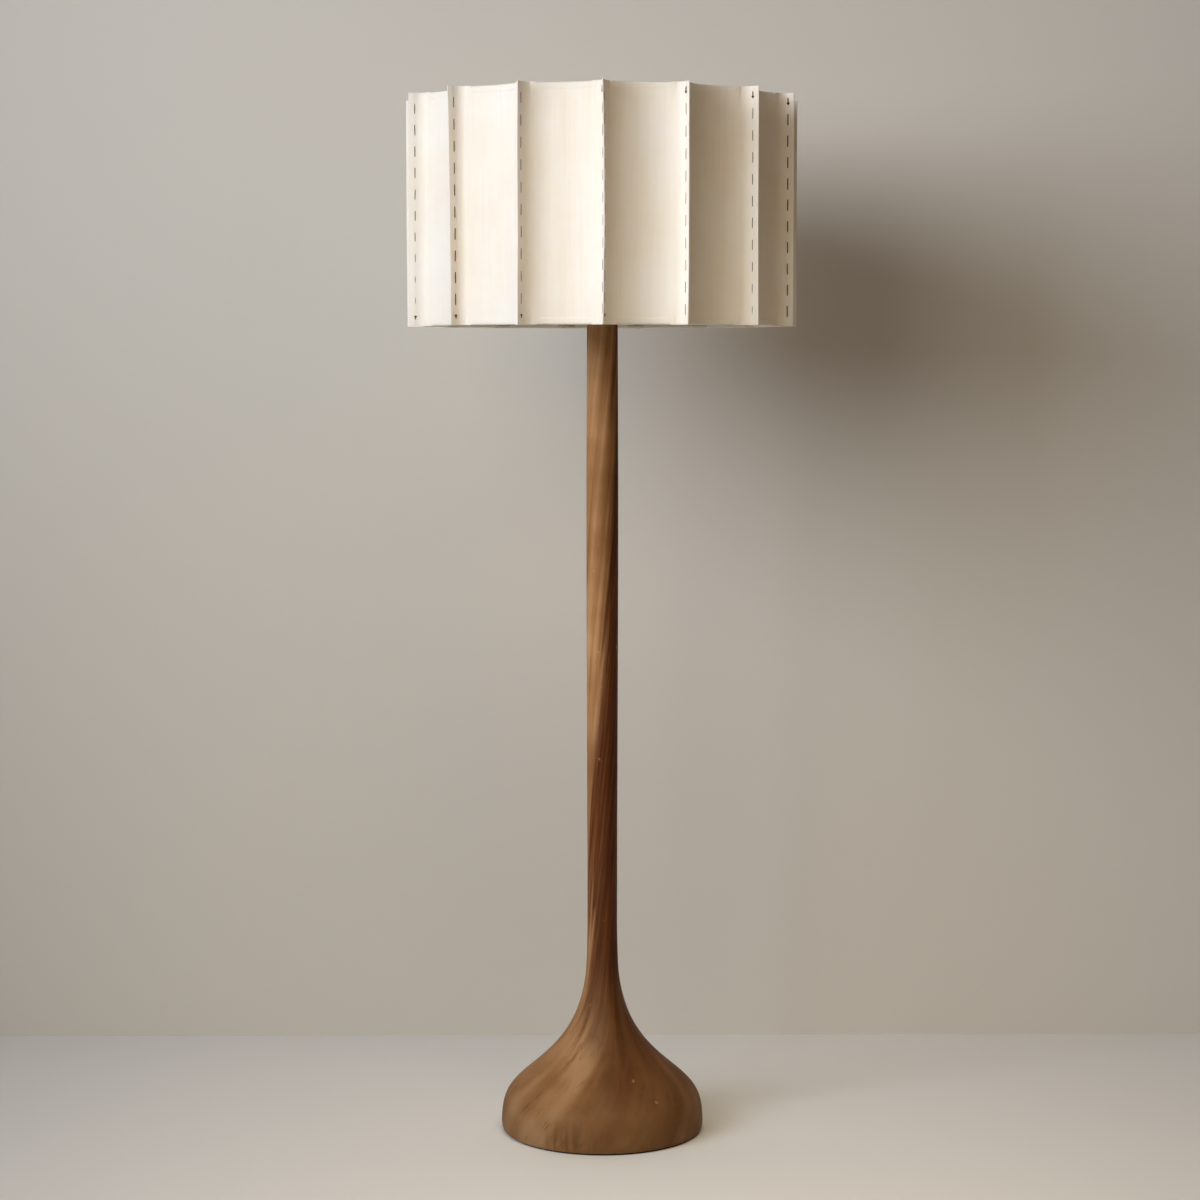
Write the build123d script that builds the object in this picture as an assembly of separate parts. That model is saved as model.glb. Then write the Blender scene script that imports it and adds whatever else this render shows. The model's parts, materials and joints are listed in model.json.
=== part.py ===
from build123d import *
from math import acos, cos, floor, hypot, pi, sin, sqrt, tan, radians, degrees
import os

# A free-standing wooden floor lamp. Millimetres, +Z up. The origin is the middle of the foot's
# underside, on the floor, and the lamp's axis is Z. The front is -Y.

# Driving sizes of the whole lamp
overall_height = 1520.0
shade_height = 328.0
shade_tip_radius = 287.5
panel_count = 15

# Turned wood
base_radius = 150.0
base_widest_height = 14.0
base_edge_inset = 2.0
neck_joint_height = 95.0
neck_tenon_radius = 26.0
neck_tenon_length = 22.0
base_joint_height = 310.0
stem_joint_height = 916.0
waist_radius = 22.0
stem_joint_radius = 23.4
stem_top_radius = 22.3
tenon_radius = 13.0
tenon_length = 28.0
tenon_play = 0.1
tenon_end_room = 0.5
# The flare between the widest height and the base joint, as shares of its rise and its swell
flare_shape = [
    (0.105, 0.971),
    (0.172, 0.891),
    (0.264, 0.670),
    (0.375, 0.395),
    (0.486, 0.206),
    (0.595, 0.096),
    (0.713, 0.031),
    (0.848, 0.007),
]
# How firmly the flare's two ends hold their upright direction
flare_end_ratio = 0.5

# Foot and weight
pad_thickness = 3.0
pad_inset = 4.0
cover_radius = 118.0
cover_thickness = 2.5
cover_play = 0.3
weight_radius = 105.0
weight_thickness = 18.0
weight_play = 0.5
cord_room = 14.0
cover_screw_count = 4
cover_screw_shank_radius = 1.7
cover_screw_head_radius = 3.4
cover_screw_length = 14.0
weight_screw_count = 3
weight_screw_circle_radius = 70.0
weight_screw_shank_radius = 2.4
weight_screw_head_radius = 5.0
weight_screw_head_height = 3.0
weight_screw_bite = 20.0
screw_play = 0.1

# Cord gland at the back of the base
gland_bore_radius = 3.5
gland_body_radius = 5.0
gland_flange_radius = 7.5
gland_flange_thickness = 2.5
gland_play = 0.05

# Threaded pipe through the wood
pipe_radius = 5.0
pipe_bore_radius = 3.5
pipe_play = 0.1
pipe_channel_play = 0.4
pipe_end_room = 3.0
pipe_nut_across_flats = 16.0
pipe_nut_thickness = 5.0
washer_radius = 14.0
washer_thickness = 1.5
coupling_radius = 7.5
coupling_length = 30.0
coupling_play = 0.5
pipe_butt_room = 1.0

# Hardware on top of the stem
cap_thickness = 3.5
cap_overhang = 0.9
cap_rounding = 1.2
neck_radius = 8.0
neck_length = 14.0
saddle_thickness = 1.5
saddle_width = 12.0
saddle_nut_across_flats = 14.0
saddle_nut_thickness = 3.5

# Harp
harp_foot_half_span = 31.0
harp_half_width = 57.0
harp_top_half_width = 36.0
harp_height = 228.0
harp_wire_radius = 1.9
harp_foot_straight = 32.0
harp_flare_rise = 46.0
harp_side_length = 72.0
harp_foot_bend_radius = 40.0
harp_side_bend_radius = 60.0
harp_lean_bend_radius = 110.0
harp_shoulder_radius = 18.0
harp_plug_radius = 2.6
harp_plug_length = 4.0
post_height = 13.0
post_seat_radius = 4.4
post_seat_height = 4.0
sleeve_radius = 4.3
sleeve_length = 18.0
sleeve_play = 0.05
harp_pad_radius = 7.0
harp_pad_thickness = 2.2

# Stud on the harp, and the finial
stud_radius = 3.1
stud_length = 13.0
stud_collar_radius = 6.0
stud_collar_height = 3.0
stud_shank_radius = 2.4
stud_shank_play = 0.05
stud_rivet_radius = 4.0
stud_rivet_height = 1.2
finial_flange_radius = 8.0
finial_neck_radius = 4.6
finial_ball_radius = 8.0
finial_length = 24.0
finial_flange_thickness = 3.0
finial_play = 0.05

# Lamp socket
socket_cap_height = 19.0
socket_cap_wall = 1.0
socket_hub_radius = 8.5
socket_hub_height = 8.0
socket_cap_dish = 3.5
shell_radius = 16.3
shell_wall = 0.7
shell_play = 0.1
shell_overlap = 4.5
shell_height = 44.0
shell_bead_radius = 17.1
shell_bead_height = 2.5
liner_wall = 0.6
liner_play = 0.1
socket_body_height = 20.0
socket_body_play = 0.1
thread_shell_wall = 0.35
thread_shell_height = 27.0
lamp_cap_radius = 13.2
lamp_cap_play = 0.05
contact_height = 2.5
contact_strip_thickness = 0.5
contact_strip_width = 6.0
contact_strip_length = 14.0
terminal_screw_radius = 1.8
terminal_head_radius = 3.0
terminal_head_height = 1.6
terminal_depth = 5.0
terminal_height = 6.0
set_screw_radius = 1.8
set_screw_stand = 1.0

# Turn knob of the switch
spindle_radius = 2.0
spindle_play = 0.05
spindle_reach = 10.0
knob_collar_radius = 3.6
knob_collar_length = 3.0
knob_blade_height = 13.0
knob_blade_length = 12.0
knob_blade_thickness = 3.4
knob_room = 0.4

# Bulb
bulb_radius = 30.0
bulb_length = 108.0
bulb_wall = 1.0
bulb_flare_angle = 35.0
bulb_tip_radius = 3.2
bulb_tip_height = 1.5
insulator_height = 4.5
insulator_radius = 8.6
lamp_cap_wall = 0.5
lamp_cap_taper = 3.0
lamp_cap_height = 21.0
bulb_neck_depth = 7.0
bulb_neck_play = 0.3

# Shade panels: folded sheets whose edges stand out as pinched seams
sheet_thickness = 1.2
seam_gap = 0.1
seam_depth = 13.5
panel_curve_radius = 108.0
fold_radius = 6.0
hem_depth = 9.0
hem_end_room = 14.0
ring_wire_radius = 1.6
ring_play = 0.15
ring_cusp_radius = 9.0

# Running stitch through each seam
stitch_inset = 8.8
stitch_pitch = 15.0
stitch_top_margin = 15.0
stitch_bottom_margin = 12.0
thread_width = 1.3
thread_hole_play = 0.1
thread_stand = 0.05
knot_width = 2.8
knot_tail = 7.0

# Spider that carries the shade
spider_arm_count = 3
spider_wire_radius = 2.0
spider_drop = 26.0
spider_rise_run = 55.0
spider_bend_radius = 16.0
spider_hub_radius = 13.0
spider_hub_thickness = 1.6
spider_hub_play = 0.1
spider_weld_room = 0.1
spider_hub_reach = 9.5

# Heights worked out from the top and from the floor
shade_top = overall_height
shade_bottom = overall_height - shade_height
top_ring_height = shade_top - sheet_thickness - ring_play - ring_wire_radius
bottom_ring_height = shade_bottom + sheet_thickness + ring_play + ring_wire_radius
hub_bottom = top_ring_height - spider_drop - spider_hub_thickness / 2
harp_pad_top = hub_bottom - stud_collar_height
harp_pad_bottom = harp_pad_top - harp_pad_thickness
harp_top_line = harp_pad_top - harp_pad_thickness / 2
harp_foot = harp_top_line - harp_height
post_seat = harp_foot - post_height
saddle_top = post_seat - post_seat_height
saddle_bottom = saddle_top - saddle_thickness
neck_bottom = saddle_bottom - neck_length
stem_top = neck_bottom - cap_thickness
socket_bottom = saddle_top + saddle_nut_thickness
socket_floor = socket_bottom + socket_hub_height
socket_rim = socket_bottom + socket_cap_height
shell_bottom = socket_rim - shell_overlap
shell_top = shell_bottom + shell_height
socket_body_bottom = socket_floor + socket_body_play
socket_body_top = socket_body_bottom + socket_body_height
bulb_bottom = socket_body_top + contact_height
lamp_cap_bottom = bulb_bottom + bulb_tip_height + insulator_height
lamp_cap_top = lamp_cap_bottom + lamp_cap_height
bulb_top = bulb_bottom + bulb_length
switch_line = socket_rim + knob_collar_radius + spindle_play
cover_bottom = pad_thickness
cover_top = cover_bottom + cover_thickness
weight_bottom = cover_top + cord_room
weight_top = weight_bottom + weight_thickness
pipe_bottom = weight_bottom - washer_thickness - pipe_nut_thickness - pipe_end_room
pipe_top = socket_floor - pipe_butt_room
stud_top = hub_bottom + stud_length
gland_line = cover_top + cord_room / 2

# Radii shared by mating pieces
pipe_channel_radius = pipe_radius + pipe_channel_play
pipe_seat_radius = pipe_radius + pipe_play
mortise_radius = tenon_radius + tenon_play
neck_mortise_radius = neck_tenon_radius + tenon_play
coupling_room_radius = coupling_radius + coupling_play
pocket_radius = weight_radius + weight_play
cover_screw_circle_radius = (pocket_radius + cover_radius) / 2
socket_cap_bore_radius = shell_radius + shell_play
socket_cap_radius = socket_cap_bore_radius + socket_cap_wall
shell_bore_radius = shell_radius - shell_wall
liner_radius = shell_bore_radius - liner_play
liner_bore_radius = liner_radius - liner_wall
socket_body_radius = liner_bore_radius - socket_body_play
thread_shell_bore_radius = lamp_cap_radius + lamp_cap_play
thread_shell_radius = thread_shell_bore_radius + thread_shell_wall
bulb_neck_radius = lamp_cap_radius - lamp_cap_wall - bulb_neck_play
spindle_bore_radius = spindle_radius + spindle_play
stud_hole_radius = stud_shank_radius + stud_shank_play
thread_hole_radius = sqrt(2) * thread_width / 2 + thread_hole_play

# Places
front = -90.0
back = 90.0
gland_seat = base_radius - gland_flange_thickness
first_panel = front + 180 / panel_count
stitch_radius = shade_tip_radius - stitch_inset
seam_face = sheet_thickness + seam_gap / 2
hem_pocket = 2 * (ring_wire_radius + ring_play)

# The panel across +X: the direction out along the seam on its +Y side, the direction from that
# seam back to the panel, where its fold starts, and the centres of the fold and of the hollow
seam_half_angle = pi / panel_count
seam_out = (cos(seam_half_angle), sin(seam_half_angle))
seam_off = (sin(seam_half_angle), -cos(seam_half_angle))
fold_start = shade_tip_radius - seam_depth
fold_offset = seam_gap / 2 + sheet_thickness / 2 + fold_radius
fold_centre = (
    fold_start * seam_out[0] + fold_offset * seam_off[0],
    fold_start * seam_out[1] + fold_offset * seam_off[1],
)
curve_centre = fold_centre[0] + sqrt((panel_curve_radius - fold_radius) ** 2 - fold_centre[1] ** 2)

os.makedirs("parts", exist_ok=True)


def save(name, shape):
    """Writes one piece, or one group of like pieces, as its own node."""
    shape.label = name
    export_step(shape, f"parts/{name}.step")


def rod(radius, low, high):
    """An upright cylinder on the lamp's axis."""
    return Pos(0, 0, low) * extrude(Circle(radius), high - low)


def pipe(radius, bore, low, high):
    """An upright tube on the lamp's axis."""
    return rod(radius, low, high) - rod(bore, low, high)


def hexagon(across_flats, bore, low, high):
    """A hexagon nut on the lamp's axis."""
    section = RegularPolygon(across_flats / 2, 6, major_radius=False) - Circle(bore)
    return Pos(0, 0, low) * extrude(section, high - low)


def turned(*edges):
    """A piece turned about the lamp's axis from an outline in the XZ plane."""
    return revolve(Plane.XZ * make_face(Curve() + list(edges)), Axis.Z)


def turned_polygon(*points):
    """A turned piece whose outline has straight sides only."""
    return turned(Polyline(*points, close=True))


def spread(count, start=0.0):
    """Turns that space pieces evenly about the lamp's axis."""
    return [Rot(0, 0, start + 360 * k / count) for k in range(count)]


cover_screw_turns = spread(cover_screw_count, 180 / cover_screw_count)
weight_screw_turns = spread(weight_screw_count)


def sideways(radius, start, end, height, heading):
    """A level cylinder that runs outwards from the axis, between two distances from it."""
    return Rot(0, 0, heading) * Pos(start, 0, height) * Rot(0, 90, 0) * extrude(Circle(radius), end - start)


def rounded_rod(radius, low, high, rounding):
    """An upright cylinder whose top edge is rounded."""
    plain = rod(radius, low, high)
    return fillet(plain.faces().sort_by(Axis.Z)[-1].edges(), rounding)


def turned_base():
    """The base and its neck turned as one: an ogee flare."""
    rise = base_joint_height - base_widest_height
    swell = base_radius - waist_radius
    flare = [(waist_radius + out * swell, base_widest_height + up * rise) for up, out in flare_shape]
    widest = (base_radius, base_widest_height)
    top = (waist_radius, base_joint_height)
    foot = (base_radius - base_edge_inset, pad_thickness)
    firmness = [flare_end_ratio, flare_end_ratio]
    side = Spline(widest, *flare, top, tangents=[(0, 1), (0, 1)], tangent_scalars=firmness)
    edge = TangentArc(widest, foot, tangent=(0, -1))
    inside = Polyline(foot, (0, pad_thickness), (0, base_joint_height), top)
    return turned(side, edge, inside)


def make_base():
    """The foot of the base, with a pocket for the weight under it and a mortise for its neck."""
    base = split(turned_base(), Plane.XY.offset(neck_joint_height), keep=Keep.BOTTOM)
    base -= rod(cover_radius + cover_play, pad_thickness, cover_top)
    base -= rod(pocket_radius, cover_top, weight_top)
    base -= rod(pipe_channel_radius, weight_top, neck_joint_height)
    mortise_floor = neck_joint_height - neck_tenon_length - tenon_end_room
    base -= rod(neck_mortise_radius, mortise_floor, neck_joint_height)
    base -= [turn * cover_screw(screw_play) for turn in cover_screw_turns]
    base -= [turn * weight_screw(screw_play) for turn in weight_screw_turns]
    base -= sideways(gland_body_radius + gland_play, weight_radius, gland_seat, gland_line, back)
    seat_end = base_radius + gland_flange_thickness
    base -= sideways(gland_flange_radius + gland_play, gland_seat, seat_end, gland_line, back)
    return base


def make_base_neck():
    """The neck of the base, with a tenon under it and a mortise for the stem on top."""
    neck = split(turned_base(), Plane.XY.offset(neck_joint_height), keep=Keep.TOP)
    tenon_end = neck_joint_height - neck_tenon_length
    neck += rod(neck_tenon_radius, tenon_end, neck_joint_height)
    neck -= rod(pipe_channel_radius, tenon_end, base_joint_height)
    return neck - rod(mortise_radius, base_joint_height - tenon_length - tenon_end_room, base_joint_height)


def make_lower_stem():
    """The lower stem section, with a tenon at each end and room for the pipe's coupling."""
    low = (waist_radius, base_joint_height)
    high = (stem_joint_radius, stem_joint_height)
    side = Spline(low, high, tangents=[(0, 1), (0, 1)])
    inside = Polyline(high, (0, stem_joint_height), (0, base_joint_height), low)
    stem = turned(side, inside)
    stem += rod(tenon_radius, base_joint_height - tenon_length, base_joint_height)
    stem += rod(tenon_radius, stem_joint_height, stem_joint_height + tenon_length)
    stem -= rod(pipe_channel_radius, base_joint_height - tenon_length, stem_joint_height + tenon_length)
    coupling_seat = stem_joint_height - coupling_length / 2 - coupling_play
    stem -= rod(coupling_room_radius, coupling_seat, stem_joint_height + tenon_length)
    return stem


def make_upper_stem():
    """The upper stem section, with a mortise at its lower end."""
    low = (stem_joint_radius, stem_joint_height)
    high = (stem_top_radius, stem_top)
    end_lean = (stem_top_radius - stem_joint_radius, stem_top - stem_joint_height)
    side = Spline(low, high, tangents=[(0, 1), end_lean])
    inside = Polyline(high, (0, stem_top), (0, stem_joint_height), low)
    stem = turned(side, inside)
    stem -= rod(mortise_radius, stem_joint_height, stem_joint_height + tenon_length + tenon_end_room)
    stem -= rod(pipe_channel_radius, stem_joint_height, stem_top)
    return stem


def make_felt_pad():
    """The pad that the lamp stands on."""
    return rod(base_radius - base_edge_inset - pad_inset, 0, pad_thickness)


def cover_screw(play=0.0):
    """One countersunk screw of the cover, or, with play, the hole for it."""
    head = cover_screw_head_radius + play
    shank = cover_screw_shank_radius + play
    neck = cover_bottom + head - shank
    end = cover_bottom + cover_screw_length + play
    outline = [(0, cover_bottom), (head, cover_bottom), (shank, neck), (shank, end), (0, end)]
    return Pos(cover_screw_circle_radius, 0, 0) * turned_polygon(*outline)


def make_cover():
    """The plate that closes the pocket under the base."""
    plate = rod(cover_radius, cover_bottom, cover_top)
    plate -= [turn * cover_screw(screw_play) for turn in cover_screw_turns]
    return plate


def weight_screw(play=0.0):
    """One pan-headed screw that holds the weight up in its pocket."""
    head_bottom = weight_bottom - weight_screw_head_height
    end = weight_top + weight_screw_bite + play
    screw = rod(weight_screw_head_radius, head_bottom, weight_bottom)
    screw += rod(weight_screw_shank_radius + play, weight_bottom, end)
    return Pos(weight_screw_circle_radius, 0, 0) * screw


def make_weight():
    """The iron disc that keeps the lamp from tipping."""
    disc = pipe(weight_radius, pipe_channel_radius, weight_bottom, weight_top)
    disc -= [turn * weight_screw(screw_play) for turn in weight_screw_turns]
    return disc


def make_gland():
    """The bushing through which the flex enters the base."""
    start = pocket_radius - gland_flange_thickness
    gland = sideways(gland_body_radius, start, gland_seat, gland_line, back)
    gland += sideways(gland_flange_radius, gland_seat, base_radius, gland_line, back)
    return gland - sideways(gland_bore_radius, start, base_radius, gland_line, back)


def make_saddle():
    """The strip that carries the harp, with a post at each end."""
    strip = Pos(0, 0, saddle_bottom) * extrude(
        SlotCenterToCenter(2 * harp_foot_half_span, saddle_width), saddle_thickness
    )
    strip -= rod(pipe_seat_radius, saddle_bottom, saddle_top)
    for side in (-1, 1):
        strip += Pos(side * harp_foot_half_span, 0, 0) * rod(post_seat_radius, saddle_top, post_seat)
        strip += Pos(side * harp_foot_half_span, 0, 0) * rod(harp_plug_radius, post_seat, harp_foot)
    return strip


def make_harp():
    """The wire loop round the bulb, with a flat pad at its top and a plug on each foot."""
    straight_end = harp_foot + harp_foot_straight
    flare_end = straight_end + harp_flare_rise
    side_end = flare_end + harp_side_length
    half = [
        (harp_foot_half_span, 0, harp_foot),
        (harp_foot_half_span, 0, straight_end),
        (harp_half_width, 0, flare_end),
        (harp_half_width, 0, side_end),
        (harp_top_half_width, 0, harp_top_line),
    ]
    bends = [harp_foot_bend_radius, harp_side_bend_radius, harp_lean_bend_radius, harp_shoulder_radius]
    other_half = [(-x, y, z) for x, y, z in reversed(half)]
    path = FilletPolyline(*half, *other_half, radius=bends + bends[::-1])
    harp = sweep(Pos(*half[0]) * Circle(harp_wire_radius), path)
    standing = (Align.CENTER, Align.CENTER, Align.MIN)
    flat = Box(2 * harp_pad_radius, 4 * harp_wire_radius, harp_wire_radius, align=standing)
    harp -= Pos(0, 0, harp_pad_top) * flat
    harp -= Pos(0, 0, harp_pad_bottom - harp_wire_radius) * flat
    harp += rod(harp_pad_radius, harp_pad_bottom, harp_pad_top)
    harp -= rod(stud_hole_radius, harp_pad_bottom, harp_pad_top)
    plug = rod(harp_plug_radius, harp_foot, harp_foot + harp_plug_length)
    for side in (-1, 1):
        harp += Pos(side * harp_foot_half_span, 0, 0) * plug
    return harp


def make_sleeve(side):
    """The sleeve that locks one foot of the harp on its post."""
    sleeve = pipe(sleeve_radius, harp_plug_radius + sleeve_play, post_seat, post_seat + sleeve_length)
    return Pos(side * harp_foot_half_span, 0, 0) * sleeve


def make_stud():
    """The stud riveted in the harp's pad, which the shade sits on."""
    stud = rod(stud_rivet_radius, harp_pad_bottom - stud_rivet_height, harp_pad_bottom)
    stud += rod(stud_shank_radius, harp_pad_bottom, harp_pad_top)
    stud += rod(stud_collar_radius, harp_pad_top, hub_bottom)
    stud += rod(stud_radius, hub_bottom, stud_top)
    return stud


def make_finial():
    """The turned knob that clamps the shade on the stud."""
    bottom = hub_bottom + spider_hub_thickness
    flange_top = bottom + finial_flange_thickness
    top = bottom + finial_length
    ball_middle = top - finial_ball_radius
    ball_start = ball_middle - sqrt(finial_ball_radius**2 - finial_neck_radius**2)
    flange = [(0, top), (0, bottom), (finial_flange_radius, bottom), (finial_flange_radius, flange_top)]
    neck = [(finial_neck_radius, flange_top), (finial_neck_radius, ball_start)]
    ball = ThreePointArc(neck[-1], (finial_ball_radius, ball_middle), (0, top))
    bore = rod(stud_radius + finial_play, bottom, stud_top + finial_play)
    return turned(Polyline(*flange, *neck), ball) - bore


def make_socket_cap():
    """The brass cap that screws on the pipe and holds the socket's shell."""
    outline = [
        (pipe_seat_radius, socket_bottom),
        (socket_hub_radius, socket_bottom),
        (socket_hub_radius, socket_floor - socket_cap_dish),
        (socket_cap_radius, socket_floor - socket_cap_wall),
        (socket_cap_radius, socket_rim),
        (socket_cap_bore_radius, socket_rim),
        (socket_cap_bore_radius, socket_floor),
        (pipe_seat_radius, socket_floor),
    ]
    return turned_polygon(*outline) - set_screw(screw_play)


def set_screw(play=0.0):
    """The screw that keeps the socket from turning on the pipe."""
    line = (socket_bottom + socket_floor - socket_cap_dish) / 2
    start = pipe_radius + pipe_play
    return sideways(set_screw_radius + play, start, socket_hub_radius + set_screw_stand, line, back)


def make_socket_shell():
    """The brass shell round the socket, with a bead at its mouth."""
    shell = pipe(shell_radius, shell_bore_radius, shell_bottom, shell_top)
    shell += pipe(shell_bead_radius, shell_bore_radius, shell_top - shell_bead_height, shell_top)
    return shell - spindle_hole()


def spindle_hole():
    """The way of the switch's spindle through the shell and its liner."""
    start = liner_bore_radius / 2
    return sideways(spindle_radius + knob_room, start, socket_cap_radius, switch_line, front)


def make_liner():
    """The insulating sleeve inside the shell."""
    top = shell_top - shell_bead_height
    return pipe(liner_radius, liner_bore_radius, shell_bottom, top) - spindle_hole()


def terminal_screw(play=0.0):
    """One screw that clamps a wire to the socket's body."""
    face = socket_body_radius - terminal_depth
    height = socket_body_bottom + terminal_height
    screw = sideways(terminal_screw_radius + play, face - terminal_depth, face, height, 0)
    return screw + sideways(terminal_head_radius, face, face + terminal_head_height, height, 0)


def make_socket_body():
    """The moulded body with its two terminals and the switch's bearing."""
    body = rod(socket_body_radius, socket_body_bottom, socket_body_top)
    height = socket_body_bottom + terminal_height
    recess_size = 2 * (terminal_head_radius + knob_room)
    recess = Box(terminal_depth, recess_size, recess_size, align=(Align.MAX, Align.CENTER, Align.CENTER))
    for turn in spread(2):
        body -= turn * Pos(socket_body_radius, 0, height) * recess
        body -= turn * terminal_screw(screw_play)
    bearing_start = socket_body_radius - spindle_reach
    return body - sideways(spindle_bore_radius, bearing_start, socket_body_radius, switch_line, front)


def make_thread_shell():
    """The metal shell that the lamp's cap screws into."""
    top = socket_body_top + thread_shell_height
    shell = pipe(thread_shell_radius, thread_shell_bore_radius, socket_body_top, top)
    floor_top = socket_body_top + thread_shell_wall
    return shell + pipe(thread_shell_radius, insulator_radius, socket_body_top, floor_top)


def make_centre_contact():
    """The sprung strip under the bulb's tip."""
    strip = Box(contact_strip_length, contact_strip_width, contact_strip_thickness)
    strip = Pos(0, 0, socket_body_top + contact_strip_thickness / 2) * strip
    return strip + rod(contact_strip_width / 2, socket_body_top, bulb_bottom)


def make_knob():
    """The switch's turn knob, in one with its spindle."""
    start = socket_body_radius - spindle_reach + spindle_play
    collar_start = shell_radius + knob_room
    collar_end = collar_start + knob_collar_length
    knob = sideways(spindle_radius, start, collar_start, switch_line, front)
    knob += sideways(knob_collar_radius, collar_start, collar_end, switch_line, front)
    blade = RectangleRounded(knob_blade_length, knob_blade_height, knob_blade_thickness)
    middle = collar_end + knob_blade_length / 2
    place = Rot(0, 0, front) * Pos(middle, 0, switch_line) * Rot(90, 0, 0)
    return knob + place * extrude(blade, knob_blade_thickness / 2, both=True)


def make_bulb_glass():
    """The hollow glass bulb, open at the neck that is cemented in its cap."""
    middle = bulb_top - bulb_radius
    neck_bottom_height = lamp_cap_top - bulb_neck_depth
    spread_angle = radians(bulb_flare_angle)
    slope = (sin(spread_angle), cos(spread_angle))
    glass = []
    for wall in (0, bulb_wall):
        ball = bulb_radius - wall
        neck = bulb_neck_radius - wall
        join = (ball * cos(spread_angle), middle - ball * sin(spread_angle))
        edges = [
            Line((neck, neck_bottom_height), (neck, lamp_cap_top)),
            Spline((neck, lamp_cap_top), join, tangents=[(0, 1), slope]),
            ThreePointArc(join, (ball, middle), (0, middle + ball)),
            Polyline((0, middle + ball), (0, neck_bottom_height), (neck, neck_bottom_height)),
        ]
        glass.append(turned(*edges))
    return glass[0] - glass[1]


def make_lamp_cap():
    """The bulb's metal cap."""
    shoulder = lamp_cap_bottom + lamp_cap_taper
    outline = [
        (insulator_radius - lamp_cap_wall, lamp_cap_bottom),
        (insulator_radius, lamp_cap_bottom),
        (lamp_cap_radius, shoulder),
        (lamp_cap_radius, lamp_cap_top),
        (lamp_cap_radius - lamp_cap_wall, lamp_cap_top),
        (lamp_cap_radius - lamp_cap_wall, shoulder),
    ]
    return turned_polygon(*outline)


def make_insulator():
    """The black glass between the bulb's cap and its tip."""
    low = bulb_bottom + bulb_tip_height
    outline = [(0, low), (bulb_tip_radius, low), (insulator_radius, lamp_cap_bottom), (0, lamp_cap_bottom)]
    return turned_polygon(*outline)


def beside_seam(along, aside):
    """The point of the panel across +X that lies this far out along its seam and this far off it."""
    return (along * seam_out[0] + aside * seam_off[0], along * seam_out[1] + aside * seam_off[1])


def towards(origin, target, distance):
    """The point at a distance from origin, on the line to target."""
    length = hypot(target[0] - origin[0], target[1] - origin[1])
    share = distance / length
    return (origin[0] + share * (target[0] - origin[0]), origin[1] + share * (target[1] - origin[1]))


def panel_side(offset):
    """One face of a panel as edges from seam to seam, offset outwards from the sheet's middle."""
    hollow = (curve_centre, 0)
    aside = seam_gap / 2 + sheet_thickness / 2 + offset
    tip = beside_seam(shade_tip_radius, aside)
    fold_end = beside_seam(fold_start, aside)
    curve_end = towards(hollow, fold_centre, panel_curve_radius - offset)
    between = ((fold_end[0] + curve_end[0]) / 2, (fold_end[1] + curve_end[1]) / 2)
    fold_middle = towards(fold_centre, between, fold_radius - offset)
    middle = (curve_centre - panel_curve_radius + offset, 0)

    def other(point):
        return (point[0], -point[1])

    edges = [
        Line(other(tip), other(fold_end)),
        ThreePointArc(other(fold_end), other(fold_middle), other(curve_end)),
        ThreePointArc(other(curve_end), middle, curve_end),
        ThreePointArc(curve_end, fold_middle, fold_end),
        Line(fold_end, tip),
    ]
    return edges, other(tip), tip


def hem_band(near, far, low, high):
    """A curved strip along a panel, between two distances behind the sheet's middle."""
    fold_angle = acos((curve_centre - fold_centre[0]) / (panel_curve_radius - fold_radius))
    half = fold_angle - hem_end_room / panel_curve_radius
    corners = []
    for depth in (near, far):
        radius = panel_curve_radius + depth
        corners.append((curve_centre - radius * cos(half), radius * sin(half), curve_centre - radius))
    (ax, ay, am), (bx, by, bm) = corners
    outline = Curve() + [
        ThreePointArc((ax, -ay), (am, 0), (ax, ay)),
        Line((ax, ay), (bx, by)),
        ThreePointArc((bx, by), (bm, 0), (bx, -by)),
        Line((bx, -by), (ax, -ay)),
    ]
    return Pos(0, 0, low) * extrude(make_face(outline), high - low)


def stitch_holes():
    """The heights of the thread's holes, from the top down."""
    room = shade_height - stitch_top_margin - stitch_bottom_margin
    count = floor(room / stitch_pitch) + 1
    return [shade_top - stitch_top_margin - k * stitch_pitch for k in range(count)]


def make_panel():
    """One panel across +X: the folded sheet, its two hems and the holes of its two seams."""
    outer, outer_start, outer_end = panel_side(sheet_thickness / 2)
    inner, inner_start, inner_end = panel_side(-sheet_thickness / 2)
    ends = [Line(outer_start, inner_start), Line(outer_end, inner_end)]
    section = make_face(Curve() + outer + inner + ends)
    sheet = Pos(0, 0, shade_bottom) * extrude(section, shade_height)
    inside = sheet_thickness / 2
    lip = inside + hem_pocket
    edge = lip + sheet_thickness
    sheet += hem_band(inside, edge, shade_top - sheet_thickness, shade_top)
    sheet += hem_band(lip, edge, shade_top - hem_depth, shade_top)
    sheet += hem_band(inside, edge, shade_bottom, shade_bottom + sheet_thickness)
    sheet += hem_band(lip, edge, shade_bottom, shade_bottom + hem_depth)
    hole = Rot(90, 0, 0) * extrude(Circle(thread_hole_radius), 2 * sheet_thickness, both=True)
    cuts = []
    for side in (-1, 1):
        for height in stitch_holes():
            cuts.append(Rot(0, 0, side * degrees(seam_half_angle)) * Pos(stitch_radius, 0, height) * hole)
    return sheet - cuts


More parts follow.
